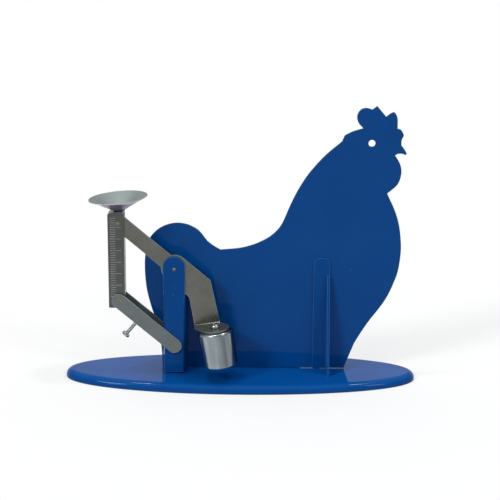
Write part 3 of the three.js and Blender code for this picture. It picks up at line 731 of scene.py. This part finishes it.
# %% Carrier
carrier_bend = 0.7 * mm
shortest_bend = 20 * mm
carrier_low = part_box("carrier")[0]


def carrier_corner(edge):
    """The two long front edges."""
    return upright_in_front(edge, carrier_low.y) and edge.calc_length() > shortest_bend


bends = (edge_round, carrier_corner, carrier_bend)
sheet_piece("carrier_channel", "carrier", upward, plated_dark, "pan_carrier", *bends)

# %% Lower link
sheet_piece("link_channel", "lower_link", along_arms, plated_cool, "link")

# %% [markdown]
# The turned pieces are the counterweight, the pan, the washer, the rivet, the pins and the screws. Each
# could be placed by hand, but the CAD model already has them, some on a tilted axis. So the axis is read
# from the flat end of the CAD solid, and a fine profile is turned about it.

# %% Axis of a turned CAD piece
def is_outermost(face, shape):
    """Whether no point of the shape lies outside the plane of a face."""
    place = face.calc_center_median()
    return all((point.co - place).dot(face.normal) < weld for point in shape.verts)


def turned_axis(node):
    """The turn onto a turned node's axis at its flat end, its length along it and its radius."""
    shape = merged_copy(node)
    ends = [face for face in shape.faces if is_outermost(face, shape)]
    end = max(ends, key=lambda face: face.calc_area())
    place, inward = end.calc_center_median(), -end.normal
    offsets = [point.co - place for point in shape.verts]
    length = max(offset.dot(inward) for offset in offsets)
    radius = max((offset - inward * offset.dot(inward)).length for offset in offsets)
    shape.free()
    side = Vector((0, 1, 0)).cross(inward).normalized()
    turn = Matrix((side, inward.cross(side), inward)).transposed().to_4x4()
    print(node, "is", round(length / mm, 1), "mm long and", round(2 * radius / mm, 1), "mm across")
    return Matrix.Translation(place) @ turn, length, radius


def shifted(axis, height):
    """An axis that starts further up."""
    return axis @ Matrix.Translation((0, 0, height))


def placed(name, mesh, axis, finish, body, node, grain_turn=0.0):
    """A mesh moved onto an axis, with its grain in its own axes, turned about the axis too."""
    mesh.transform(axis)
    to_grain = Matrix.Rotation(grain_turn, 4, "Z") @ axis.inverted()
    finished(name, mesh, to_grain, finish, body, [node])


def turned_piece(name, corners, axis, finish, body, node, segments=64, loops=False, grain_turn=0.0):
    """A piece that is turned about an axis from the corners of its profile."""
    shape = turned_shape(corners, segments, loops)
    placed(name, mesh_of(shape, name), axis, finish, body, node, grain_turn)


# %% Counterweight
weight_axis, weight_length, weight_radius = turned_axis("counterweight")
weight_chamfer = 1.2 * mm
weight_round = 0.6 * mm
weight_bore = 2.3 * mm
weight_bore_depth = 10.3 * mm
# This turn sets where round the weight the painted bright band lies, left of the middle as the camera sees
# it.
weight_painted_band_turn = math.radians(270)
weight_segments = 96
turned_piece("counterweight_turned", [
    (0, 0),
    (weight_radius, 0, weight_round),
    (weight_radius, weight_length - weight_chamfer, weight_round),
    (weight_radius - weight_chamfer, weight_length, weight_round),
    (weight_bore, weight_length),
    (weight_bore, weight_length - weight_bore_depth),
    (0, weight_length - weight_bore_depth),
], weight_axis, zinc, "beam", "counterweight", weight_segments, grain_turn=weight_painted_band_turn)

# %% [markdown]
# The screws have a domed head with a sawn slot. A turned shape makes the screw, and a thin rounded block
# cuts the slot. The same function serves every screw, with its own sizes.

# %% Slotted screws
slot_width = 0.8 * mm
slot_depth = 0.8 * mm
screw_round = 0.15 * mm
screw_segments = 48
dome_steps = 10


def slot_block(width, length, floor, top):
    """The cutter for a screw's slot, which runs along Y."""
    shape = bmesh.new()
    bmesh.ops.create_cube(shape, size=1)
    size = Matrix.Diagonal((width, length, top - floor, 1))
    shape.transform(Matrix.Translation((0, 0, (top + floor) / 2)) @ size)
    lower = [e for e in shape.edges if all(v.co.z < (top + floor) / 2 for v in e.verts)]
    bevelled(shape, lower, width / 5, 2)
    return shape


def slotted_screw(name, radius, reach, head_radius, side, dome, slot=(slot_width, slot_depth)):
    """A screw with its head up and the underside of the head at zero. A slot is a width and a depth."""
    profile = [
        (0, -reach),
        (radius, -reach, 2 * screw_round),
        (radius, 0),
        (head_radius, 0, screw_round),
        (head_radius, side),
    ]
    for share in shares(dome_steps)[1:]:
        angle = math.pi / 2 * share
        across = head_radius * math.cos(angle) if share < 1 else 0
        profile.append((across, side + dome * math.sin(angle)))
    mesh = mesh_of(turned_shape(profile, screw_segments), name)
    width, depth = slot
    top = side + dome
    return cut_away(mesh, slot_block(width, 3 * head_radius, top - depth, 2 * top))


# %% Screw of the counterweight
weight_screw_axis, _, weight_head_radius = turned_axis("counterweight_screw")
weight_shank_radius = 2 * mm
weight_shank_reach = 10 * mm
weight_head_side = 1 * mm
weight_head_dome = 2.8 * mm
weight_screw_slot = (1.1 * mm, 1.7 * mm)
weight_screw = slotted_screw(
    "counterweight_screw_slotted",
    weight_shank_radius,
    weight_shank_reach,
    weight_head_radius,
    weight_head_side,
    weight_head_dome,
    weight_screw_slot,
)
at_head = shifted(weight_screw_axis, weight_shank_reach)
placed("counterweight_screw_slotted", weight_screw, at_head, zinc, "beam", "counterweight_screw")

# %% [markdown]
# The adjusting screw has a thread. A thread follows a path, which is work for Geometry Nodes: a spiral
# curve runs round the core, and a small profile is swept along it.

# %% Geometry Nodes: a thread
def new_geometry_tree(name, inputs):
    return new_group(name, inputs, ["Geometry"], "GeometryNodeTree", "Geometry")


def plain_mesh_from(tree, values, name):
    """Runs a tree on an empty mesh, with inputs set by name, and gives its result as a plain mesh."""
    holder = in_scene(name, bpy.data.meshes.new(name))
    modifier = holder.modifiers.new("shape", "NODES")
    modifier.node_group = tree
    for item in tree.interface.items_tree:
        if item.item_type == "SOCKET" and item.in_out == "INPUT" and item.name in values:
            modifier[item.identifier] = values[item.name]
    evaluated = holder.evaluated_get(bpy.context.evaluated_depsgraph_get())
    made = bpy.data.meshes.new_from_object(evaluated)
    made.name = name
    bpy.data.objects.remove(holder)
    return made


def ends_in(tree, geometry, finish, result):
    """Realizes the instances, sets the material and puts the result out."""
    real = output(tree, "GeometryNodeRealizeInstances", {0: geometry})
    painted = output(tree, "GeometryNodeSetMaterial", {"Geometry": real, "Material": finish})
    set_inputs(tree, result, {0: painted})


thread_tree, given, result = new_geometry_tree("screw_thread", [
    ("Core radius", "Float", 1.5 * mm),
    ("Pitch", "Float", 0.7 * mm),
    ("Length", "Float", 20 * mm),
    ("Height", "Float", 0.1 * mm),
    ("Finish", "Material"),
])
spiral = output(thread_tree, "GeometryNodeCurveSpiral", {
    "Resolution": 24,
    "Rotations": calculate(thread_tree, "DIVIDE", given["Length"], given["Pitch"]),
    "Start Radius": given["Core radius"],
    "End Radius": given["Core radius"],
    "Height": given["Length"],
})
ridge_inputs = {"Resolution": 4, "Radius": given["Height"]}
ridge = output(thread_tree, "GeometryNodeCurvePrimitiveCircle", ridge_inputs)
swept = output(thread_tree, "GeometryNodeCurveToMesh", {
    "Curve": spiral,
    "Profile Curve": ridge,
    "Fill Caps": True,
})
ends_in(thread_tree, swept, given["Finish"], result)

# %% Adjusting screw
adjuster_tip_axis, adjuster_length, adjuster_head_radius = turned_axis("adjusting_screw")
adjuster_head_side = 1.5 * mm
adjuster_head_dome = 0.8 * mm
adjuster_radius = 1.6 * mm
thread_height = 0.1 * mm
plain_neck = 1.5 * mm
adjuster_reach = adjuster_length - adjuster_head_side - adjuster_head_dome
adjuster_mesh = slotted_screw(
    "adjusting_screw_slotted",
    adjuster_radius - thread_height,
    adjuster_reach,
    adjuster_head_radius,
    adjuster_head_side,
    adjuster_head_dome,
)
thread_mesh = plain_mesh_from(thread_tree, {
    "Core radius": adjuster_radius - thread_height,
    "Length": adjuster_reach - 2 * plain_neck,
    "Height": thread_height,
    "Finish": zinc,
}, "thread")
joined = bmesh.new()
joined.from_mesh(thread_mesh)
bmesh.ops.translate(joined, verts=joined.verts, vec=(0, 0, plain_neck - adjuster_reach))
joined.from_mesh(adjuster_mesh)
adjuster_mesh = mesh_of(joined, "adjusting_screw_slotted")
at_head = shifted(adjuster_tip_axis, adjuster_reach)
placed("adjusting_screw_slotted", adjuster_mesh, at_head, zinc, "adjuster", "adjusting_screw")

# %% [markdown]
# Four fixing screws hold the hen and its bracket to the base. They are alike but for the turn at which
# each was left, so Geometry Nodes set one screw on points, with a random turn from a fixed seed.

# %% Geometry Nodes: screws on points
def set_along(tree, given, axis, thing, turn_or_size):
    """Copies of one object on a row of points along an axis, each turned or sized by more inputs."""
    step = output(tree, "ShaderNodeCombineXYZ", {axis: given["Pitch"]})
    row_inputs = {"Count": given["Count"], "Start Location": given["First point"], "Offset": step}
    row = output(tree, "GeometryNodeMeshLine", row_inputs, mode="OFFSET")
    shape = add(tree, "GeometryNodeObjectInfo", {"Object": given[thing]}).outputs["Geometry"]
    inputs = {"Points": row, "Instance": shape, **turn_or_size}
    return output(tree, "GeometryNodeInstanceOnPoints", inputs)


screws_tree, given, result = new_geometry_tree("screws_on_points", [
    ("First point", "Vector"),
    ("Pitch", "Float", 36 * mm),
    ("Count", "Int", 3),
    ("Screw", "Object"),
    ("Seed", "Int", 4),
    ("Finish", "Material"),
])
turn_inputs = {"Min": (0, 0, 0), "Max": (0, 0, math.pi), "Seed": given["Seed"]}
random_turn = output(screws_tree, "FunctionNodeRandomValue", turn_inputs, data_type="FLOAT_VECTOR")
screws = set_along(screws_tree, given, 0, "Screw", {"Rotation": random_turn})
ends_in(screws_tree, screws, given["Finish"], result)

# %% Fixing screws
fixing_head_side = 0.8 * mm
fixing_head_dome = 1.2 * mm
fixing_reach = 4.5 * mm


def screw_seat(node):
    """The point under a screw's head."""
    low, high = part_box(node)
    seat = (low + high) / 2
    seat.z = low.z + fixing_reach
    return seat


hen_screws = ["hen_screw_%d" % number for number in (1, 2, 3)]
hen_seats = [screw_seat(node) for node in hen_screws]
fixing_low, fixing_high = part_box("hen_screw_1")
screw_model = bpy.data.objects.new("screw_model", slotted_screw(
    "screw_model",
    shank_radius,
    fixing_reach,
    (fixing_high.x - fixing_low.x) / 2,
    fixing_head_side,
    fixing_head_dome,
))


def screw_row(name, first, pitch, seed, replaced):
    """A row of screws that stands for as many CAD nodes, each screw left at a turn of its own."""
    mesh = plain_mesh_from(screws_tree, {
        "First point": first,
        "Pitch": pitch,
        "Count": len(replaced),
        "Screw": screw_model,
        "Seed": seed,
        "Finish": zinc,
    }, name)
    finished(name, mesh, Matrix.Translation(-first), zinc, "stand", replaced)


screw_row("hen_screws", hen_seats[0], hen_seats[1].x - hen_seats[0].x, 4, hen_screws)
screw_row("bracket_screw_slotted", screw_seat("bracket_screw"), 0.0, 7, ["bracket_screw"])
bpy.data.objects.remove(screw_model)

# %% [markdown]
# The screw of the post is countersunk from below. Its flat head is the lower end, and has a slot.

# %% Post screw
post_screw_length = post_screw_high.z - post_screw_low.z
sunk_slot_depth = 0.7 * mm
small_round = 0.12 * mm
post_screw_shape = turned_shape([
    (0, 0),
    (sunk_head_radius, 0, small_round),
    (shank_radius, sunk_head),
    (shank_radius, post_screw_length, small_round),
    (0, post_screw_length),
], screw_segments)
post_screw_mesh = mesh_of(post_screw_shape, "post_screw_sunk")
post_slot = slot_block(slot_width, 3 * sunk_head_radius, -sunk_head, sunk_slot_depth)
post_screw_mesh = cut_away(post_screw_mesh, post_slot)
at_foot = Matrix.Translation((post_screw_middle.x, post_screw_middle.y, post_screw_low.z))
placed("post_screw_sunk", post_screw_mesh, at_foot, zinc, "stand", "post_screw")

# %% [markdown]
# The pan is a shallow dish with a rounded rim. Its profile goes up the outside and back down the inside,
# and a mask stored on the mesh tells the finish which side is which.

# %% Pan
rivet_axis = turned_axis("pan_rivet")[0]
pan_radius = 24.7 * mm
pan_depth = 9.9 * mm
pan_sheet = 0.9 * mm
pan_flat = 7 * mm
pan_hollow = 0.4 * mm
pan_bore = 1.9 * mm
pan_segments = 128
pan_steps = 24
rim_steps = 8
rivet_tail_height = 1 * mm
rest_gap = 0.3 * mm
sheet = 1.2 * mm
washer_height = 1.2 * mm
washer_seat = rivet_tail_height + rest_gap + sheet + rest_gap
pan_seat = washer_seat + washer_height + rest_gap


def pan_side(lift):
    """The side of the dish as a smooth curve from its flat bottom to its rim."""
    rise = pan_depth - pan_sheet
    bottom = Vector((pan_flat, 0))
    bend = Vector(((pan_flat + pan_radius) / 2 - pan_hollow, rise / 2 + pan_hollow))
    rim = Vector((pan_radius, rise))
    return [point + Vector((0, lift)) for point in curve(bottom, bend, rim, pan_steps)]


def pan_rim(low, high):
    """The rounded rim between the end of the outside and the start of the inside."""
    bead = pan_sheet / 2
    points = []
    for share in shares(rim_steps):
        angle = math.pi * (share - 0.5)
        round_off = Vector((bead * (math.cos(angle) - 1), bead * math.sin(angle)))
        points.append((low + high) / 2 + round_off)
    return points


outside = [Vector((pan_bore, 0))] + pan_side(0)
inside = list(reversed(pan_side(pan_sheet))) + [Vector((pan_bore, pan_sheet))]
rim = pan_rim(outside.pop(), inside.pop(0))
pan_mesh = mesh_of(turned_shape(outside + rim + inside, pan_segments, loops=True), "pan_spun")
underside = pan_mesh.attributes.new("underside", "FLOAT", "POINT")
outer_points = pan_segments * (len(outside) + len(rim) // 2)
for i, mark in enumerate(underside.data):
    mark.value = 1.0 if i < outer_points else 0.0
placed("pan_spun", pan_mesh, shifted(rivet_axis, pan_seat), pan_tin, "pan_carrier", "egg_pan")

# %% Washer and rivet of the pan
washer_radius = 5 * mm
washer_round = 0.2 * mm
washer_axis = shifted(rivet_axis, washer_seat)
# The washer's near-black finish is painted shade.
turned_piece("pan_washer_round", [
    (pan_bore, 0),
    (washer_radius, 0, washer_round),
    (washer_radius, washer_height, washer_round),
    (pan_bore, washer_height),
], washer_axis, blackened, "pan_carrier", "pan_washer", loops=True)

rivet_radius = 1.6 * mm
rivet_tail_radius = 2.4 * mm
rivet_head_radius = 3 * mm
rivet_crown_radius = 2.3 * mm
rivet_side = 0.8 * mm
rivet_head_height = 1 * mm
rivet_tail_round = 0.3 * mm
rivet_edge_round = 0.1 * mm
rivet_crown_round = 0.5 * mm
rivet_seat = pan_seat + pan_sheet + rest_gap
turned_piece("pan_rivet_domed", [
    (0, 0),
    (rivet_tail_radius, 0, rivet_tail_round),
    (rivet_tail_radius, rivet_tail_height),
    (rivet_radius, rivet_tail_height),
    (rivet_radius, rivet_seat),
    (rivet_head_radius, rivet_seat, rivet_edge_round),
    (rivet_crown_radius, rivet_seat + rivet_side, rivet_crown_round),
    (0, rivet_seat + rivet_head_height),
], rivet_axis, zinc, "pan_carrier", "pan_rivet", screw_segments)

# %% [markdown]
# Each pin has a riveted head behind. Its tip lies a little below the metal in front, so a dark ring shows
# round it.

# %% Pins
pin_radius = 1.25 * mm
pin_tip_radius = 0.75 * mm
pin_tip_length = 1 * mm
pin_head = 0.8 * mm
pin_head_radius = 2.3 * mm
pin_round = 0.3 * mm
pin_small_round = 0.1 * mm
pin_segments = 40
facing_rear = Matrix.Rotation(-math.pi / 2, 4, "X")


def pivot_pin(name, node, body):
    low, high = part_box(node)
    length = high.y - low.y
    tip = (low + high) / 2
    tip.y = low.y
    turned_piece(name, [
        (0, 0),
        (pin_tip_radius, 0, pin_round),
        (pin_tip_radius, pin_tip_length),
        (pin_radius, pin_tip_length, pin_small_round),
        (pin_radius, length - pin_head),
        (pin_head_radius, length - pin_head, pin_small_round),
        (pin_head_radius, length, pin_round),
        (0, length),
    ], Matrix.Translation(tip) @ facing_rear, brass, body, node, pin_segments)


pivot_pin("main_pin_riveted", "main_pivot_pin", "stand")
pivot_pin("carrier_pin_riveted", "carrier_pin", "pan_carrier")
pivot_pin("post_link_pin_riveted", "link_post_pin", "link")
pivot_pin("carrier_link_pin_riveted", "link_carrier_pin", "link")

# %% Spacer between the beam and the hen
sheet_piece("spacer_tube", "main_pivot_spacer", facing_rear.inverted(), zinc, "stand")

# %% [markdown]
# The carrier's face is stamped with a plain row of lines. They repeat, so Geometry Nodes make them: a row
# of points, a rounded rib on each, and every fifth one longer.

# %% Geometry Nodes: a row of stamped lines
lines_tree, given, result = new_geometry_tree("stamped_lines", [
    ("First point", "Vector"),
    ("Pitch", "Float", 2 * mm),
    ("Count", "Int", 35),
    ("Long every", "Int", 5),
    ("Short length", "Float", 4.5 * mm),
    ("Long length", "Float", 9.1 * mm),
    ("Rib", "Object"),
    ("Finish", "Material"),
])
number = output(lines_tree, "GeometryNodeInputIndex")
left_over = calculate(lines_tree, "MODULO", number, given["Long every"])
rib_length = output(lines_tree, "GeometryNodeSwitch", {
    "Switch": calculate(lines_tree, "LESS_THAN", left_over, 0.5),
    "False": given["Short length"],
    "True": given["Long length"],
}, input_type="FLOAT")
rib_size = output(lines_tree, "ShaderNodeCombineXYZ", {0: rib_length, 1: 1.0, 2: 1.0})
ribs = set_along(lines_tree, given, 2, "Rib", {"Scale": rib_size})
ends_in(lines_tree, ribs, given["Finish"], result)

# %% Stamped lines of the carrier
line_half = 0.3 * mm
line_rise = 0.22 * mm
line_root = 0.1 * mm
lines_inset = 2 * mm
lines_foot = 10 * mm
arc_steps = 6


def rib_shape():
    """A rib of unit length along X from its left end, half round in section, with closed ends."""
    shape = bmesh.new()
    rings = []
    for along, size in ((0, 0.4), (0.04, 1), (0.96, 1), (1, 0.4)):
        arc = [math.pi * share for share in shares(arc_steps)]
        section = [(-line_rise * math.sin(a), line_half * math.cos(a)) for a in arc]
        points = [(along, out * size, up * size) for out, up in section]
        points += [(along, line_root, side * line_half * size) for side in (-1, 1)]
        rings.append([shape.verts.new(point) for point in points])
    join_rings(shape, rings)
    shape.faces.new(rings[0])
    shape.faces.new(rings[-1])
    bmesh.ops.recalc_face_normals(shape, faces=shape.faces)
    return shape


rib = bpy.data.objects.new("rib", mesh_of(rib_shape(), "rib"))
first_line = carrier_low + Vector((lines_inset, 0, lines_foot))
line_values = {"First point": first_line, "Rib": rib, "Finish": stamped_edge}
lines_mesh = plain_mesh_from(lines_tree, line_values, "carrier_lines")
bpy.data.objects.remove(rib)
finished("carrier_lines", lines_mesh, upward, stamped_edge, "pan_carrier", [])

# %% [markdown]
# The scale stands on a white floor. The floor is a matt sheet that keeps the scale's shadow, and what the
# camera and the mirrors see of it has some light of its own, so that it reads as white paper. Its back
# face is clear, which lets the underside of the scale be looked at.

# %% Floor
floor_half = 20.0
floor_drop = 0.05 * mm


def seen_rays(tree):
    """The kinds of ray, and whether one comes from the camera, a mirror or a clear piece."""
    rays = add(tree, "ShaderNodeLightPath").outputs
    seen = calculate(tree, "MAXIMUM", rays["Is Camera Ray"], rays["Is Glossy Ray"])
    return rays, calculate(tree, "MAXIMUM", seen, rays["Is Transmission Ray"])


def floor_finish():
    material = bpy.data.materials.new("white_floor")
    tree = empty_tree(material)
    own_light = calculate(tree, "MULTIPLY", seen_rays(tree)[1], 0.45)
    paper = output(tree, "ShaderNodeBsdfDiffuse", {"Color": (0.37, 0.37, 0.37, 1)})
    glow = output(tree, "ShaderNodeEmission", {"Color": (1, 1, 1, 1), "Strength": own_light})
    lit = output(tree, "ShaderNodeAddShader", {0: paper, 1: glow})
    clear = output(tree, "ShaderNodeBsdfTransparent")
    behind = add(tree, "ShaderNodeNewGeometry").outputs["Backfacing"]
    one_sided = output(tree, "ShaderNodeMixShader", {0: behind, 1: lit, 2: clear})
    add(tree, "ShaderNodeOutputMaterial", {"Surface": one_sided})
    return material


floor_shape = bmesh.new()
lowered = Matrix.Translation((0, 0, -floor_drop))
bmesh.ops.create_grid(floor_shape, x_segments=1, y_segments=1, size=floor_half, matrix=lowered)
floor = in_scene("floor", mesh_of(floor_shape, "floor"))
floor.data.materials.append(floor_finish())
print("floor with", len(floor.data.polygons), "face")

# %% [markdown]
# The light is a soft studio: a sky that is bright overhead and dim lower down, and a white backdrop that
# only the camera and the mirrors see. Soft lamps stand in front on both sides, the left one stronger, and
# two small ones overhead draw the fine highlights on the base. A sky made of soft bands lights the floor
# evenly however far it runs.

# %% World
sky_stops = [
    (0.00, (0.50, 0.50, 0.50, 1)),
    (0.30, (0.32, 0.32, 0.33, 1)),
    (0.50, (0.40, 0.41, 0.42, 1)),
    (0.75, (1.00, 1.01, 1.03, 1)),
    (1.00, (1.08, 1.09, 1.11, 1)),
]


def sky_bands(tree, height):
    """The sky's colour by height."""
    sky = add(tree, "ShaderNodeValToRGB", {0: height})
    ramp = sky.color_ramp
    ramp.interpolation = "EASE"
    ramp.elements[0].position, ramp.elements[0].color = sky_stops[0]
    ramp.elements[1].position, ramp.elements[1].color = sky_stops[-1]
    for position, colour in sky_stops[1:-1]:
        ramp.elements.new(position).color = colour
    return sky.outputs[0]


def world_light():
    world = bpy.data.worlds.new("studio")
    scene.world = world
    tree = empty_tree(world)
    direction = add(tree, "ShaderNodeTexCoord").outputs["Generated"]
    parts = add(tree, "ShaderNodeSeparateXYZ", {0: direction}).outputs
    above = ranged(tree, parts["Z"], 0.04, 0.16)
    below = ranged(tree, parts["Z"], 0.48, 0.36)
    rear = ranged(tree, parts["Y"], 0.25, 0.45)
    patch = calculate(tree, "MULTIPLY", calculate(tree, "MULTIPLY", above, below), rear)
    rays, seen = seen_rays(tree)
    backdrop = calculate(tree, "MULTIPLY", patch, seen)
    mirrored = mixed(tree, backdrop, sky_bands(tree, parts["Z"]), (1, 1, 1, 1))
    light = mixed(tree, rays["Is Camera Ray"], mirrored, (1, 1, 1, 1))
    background = output(tree, "ShaderNodeBackground", {"Color": light, "Strength": 1.0})
    add(tree, "ShaderNodeOutputWorld", {"Surface": background})


world_light()
print("sky bands:", len(sky_stops))

# %% Lamps
def soft_sun(name, from_direction, degrees, strength):
    """A lamp far away whose light comes from a wide disc."""
    data = bpy.data.lights.new(name, "SUN")
    data.angle = math.radians(degrees)
    data.energy = strength
    lamp = in_scene(name, data)
    lamp.rotation_euler = Vector(from_direction).to_track_quat("Z", "Y").to_euler()
    print(name, "has a strength of", strength)


soft_sun("left_lamp", (-0.57, -0.60, 0.56), 15, 1.4)
soft_sun("right_lamp", (0.60, -0.57, 0.56), 12, 0.55)
soft_sun("top_left_lamp", (-0.26, -0.05, 0.96), 5, 0.7)
soft_sun("top_right_lamp", (0.32, -0.05, 0.94), 5, 0.5)

# %% Colours as they are written
scene.view_settings.view_transform = "Standard"
print("colours are shown with the", scene.view_settings.view_transform, "transform")
